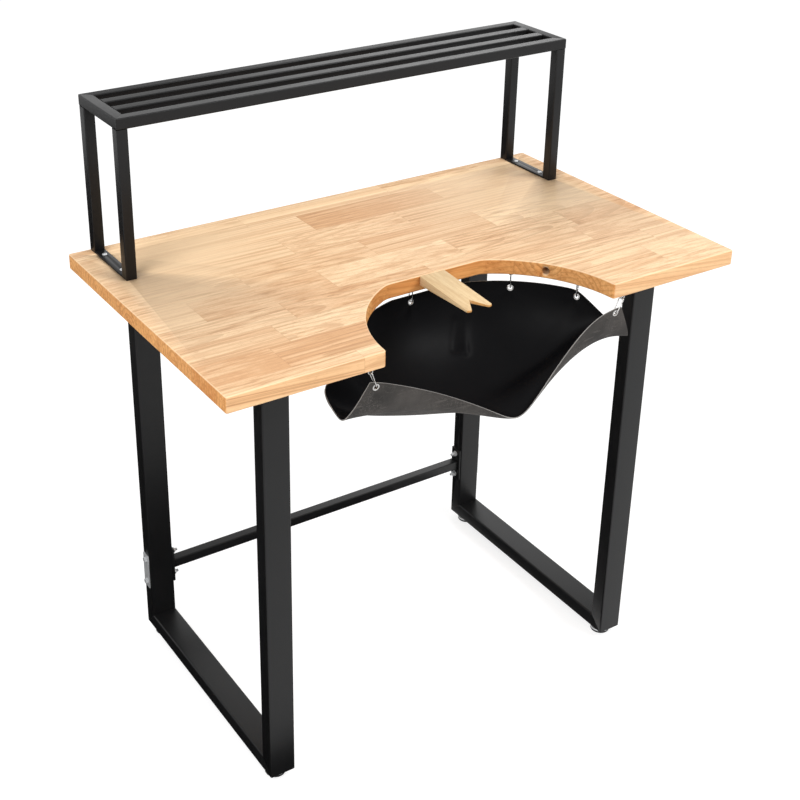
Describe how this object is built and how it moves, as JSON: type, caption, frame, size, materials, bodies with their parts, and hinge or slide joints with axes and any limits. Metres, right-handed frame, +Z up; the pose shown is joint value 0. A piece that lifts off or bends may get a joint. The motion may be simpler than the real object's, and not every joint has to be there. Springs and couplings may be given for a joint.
{
  "type": "jewelers bench",
  "caption": "Jewelers bench: hardwood top with curved cut-out, notched bench pin, leather catch apron on wire clips, slatted rear rack and two black tube steel leg frames.",
  "frame": {"origin": "on the floor, under the centre of the benchtop", "axes": "+X to the right along the front edge, +Y from the jeweler to the rear, +Z up"},
  "size_m": [1.016, 0.6, 1.147],
  "materials": {
    "hardwood_top": "clear satin lacquer on edge-glued hardwood staves",
    "hardwood_pin": "bare sanded hardwood",
    "powder_coat": "satin black powder coat",
    "zinc_plated_steel": "bright zinc plate",
    "nickel_wire": "bright nickel plate",
    "black_plastic": "matte black",
    "leather": "smooth black upper side, grey suede underside"
  },
  "bodies": {
    "frame": {"benchtop": "hardwood_top", "foot_weld_nuts": "zinc_plated_steel", "frame_bolts": "zinc_plated_steel", "frame_nuts": "zinc_plated_steel", "frame_washers": "zinc_plated_steel", "left_foot_rail": "powder_coat", "left_front_leg": "powder_coat", "left_leg_strap": "zinc_plated_steel", "left_rear_leg": "powder_coat", "left_top_rail": "powder_coat", "rack_front_rail": "powder_coat", "rack_left_base_plate": "powder_coat", "rack_left_end_bar": "powder_coat", "rack_left_front_post": "powder_coat", "rack_left_rear_post": "powder_coat", "rack_rear_rail": "powder_coat", "rack_right_base_plate": "powder_coat", "rack_right_end_bar": "powder_coat", "rack_right_front_post": "powder_coat", "rack_right_rear_post": "powder_coat", "rack_screws": "zinc_plated_steel", "rack_slat_1": "powder_coat", "rack_slat_2": "powder_coat", "right_foot_rail": "powder_coat", "right_front_leg": "powder_coat", "right_leg_strap": "zinc_plated_steel", "right_rear_leg": "powder_coat", "right_top_rail": "powder_coat", "screw_eyes": "nickel_wire", "stretcher_bar": "powder_coat", "stretcher_end_plates": "powder_coat", "top_screws": "zinc_plated_steel"},
    "bench_pin": {"bench_pin": "hardwood_pin"},
    "apron": {"apron": "leather", "eyelets": "nickel_wire"},
    "left_front_foot": {"left_front_foot_stud": "zinc_plated_steel", "left_front_foot_pad": "black_plastic"},
    "left_rear_foot": {"left_rear_foot_stud": "zinc_plated_steel", "left_rear_foot_pad": "black_plastic"},
    "right_front_foot": {"right_front_foot_stud": "zinc_plated_steel", "right_front_foot_pad": "black_plastic"},
    "right_rear_foot": {"right_rear_foot_stud": "zinc_plated_steel", "right_rear_foot_pad": "black_plastic"},
    "hook_clip_front_left": {"hook_clip_front_left": "nickel_wire"},
    "hook_clip_front_right": {"hook_clip_front_right": "nickel_wire"},
    "hook_clip_side_left": {"hook_clip_side_left": "nickel_wire"},
    "hook_clip_side_right": {"hook_clip_side_right": "nickel_wire"},
    "hook_clip_rear_right": {"hook_clip_rear_right": "nickel_wire"},
    "hook_clip_rear_left": {"hook_clip_rear_left": "nickel_wire"}
  },
  "joints": [
    {"name": "bench_pin_slide", "type": "slide", "parent": "frame", "child": "bench_pin", "axis": [0, -1, 0], "range_m": [0, 0.034]},
    {"name": "apron_sway", "type": "slide", "parent": "frame", "child": "apron", "axis": [0, 1, 0], "range_m": [-0.0025, 0.0025], "stiffness_N_per_m": 100},
    {"name": "left_front_foot_screw", "type": "slide", "parent": "frame", "child": "left_front_foot", "axis": [0, 0, 1], "range_m": [-0.015, 0.006]},
    {"name": "left_rear_foot_screw", "type": "slide", "parent": "frame", "child": "left_rear_foot", "axis": [0, 0, 1], "range_m": [-0.015, 0.006]},
    {"name": "right_front_foot_screw", "type": "slide", "parent": "frame", "child": "right_front_foot", "axis": [0, 0, 1], "range_m": [-0.015, 0.006]},
    {"name": "right_rear_foot_screw", "type": "slide", "parent": "frame", "child": "right_rear_foot", "axis": [0, 0, 1], "range_m": [-0.015, 0.006]},
    {"name": "clip_front_left_swing", "type": "hinge", "parent": "frame", "child": "hook_clip_front_left", "pos_m": [-0.25266, -0.29091, 0.82228], "axis": [1, 0, 0], "range_deg": [-8, 8]},
    {"name": "clip_front_right_swing", "type": "hinge", "parent": "frame", "child": "hook_clip_front_right", "pos_m": [0.25723, -0.29111, 0.82266], "axis": [1, 0, 0], "range_deg": [-8, 8]},
    {"name": "clip_side_left_swing", "type": "hinge", "parent": "frame", "child": "hook_clip_side_left", "pos_m": [-0.22128, -0.18027, 0.8221], "axis": [1, 0, 0], "range_deg": [-8, 8]},
    {"name": "clip_side_right_swing", "type": "hinge", "parent": "frame", "child": "hook_clip_side_right", "pos_m": [0.23511, -0.20319, 0.8221], "axis": [1, 0, 0], "range_deg": [-8, 8]},
    {"name": "clip_rear_right_swing", "type": "hinge", "parent": "frame", "child": "hook_clip_rear_right", "pos_m": [0.15807, -0.11257, 0.8221], "axis": [1, 0, 0], "range_deg": [-8, 8]},
    {"name": "clip_rear_left_swing", "type": "hinge", "parent": "frame", "child": "hook_clip_rear_left", "pos_m": [-0.02673, -0.06884, 0.8221], "axis": [1, 0, 0], "range_deg": [-8, 8]}
  ],
  "couplings": [
    {"joint": "clip_front_left_swing", "follows": "apron_sway", "rad_per_m": 42.238},
    {"joint": "clip_front_right_swing", "follows": "apron_sway", "rad_per_m": 47.245},
    {"joint": "clip_side_left_swing", "follows": "apron_sway", "rad_per_m": 40.161},
    {"joint": "clip_side_right_swing", "follows": "apron_sway", "rad_per_m": 40.161},
    {"joint": "clip_rear_right_swing", "follows": "apron_sway", "rad_per_m": 40.161},
    {"joint": "clip_rear_left_swing", "follows": "apron_sway", "rad_per_m": 40.161}
  ]
}
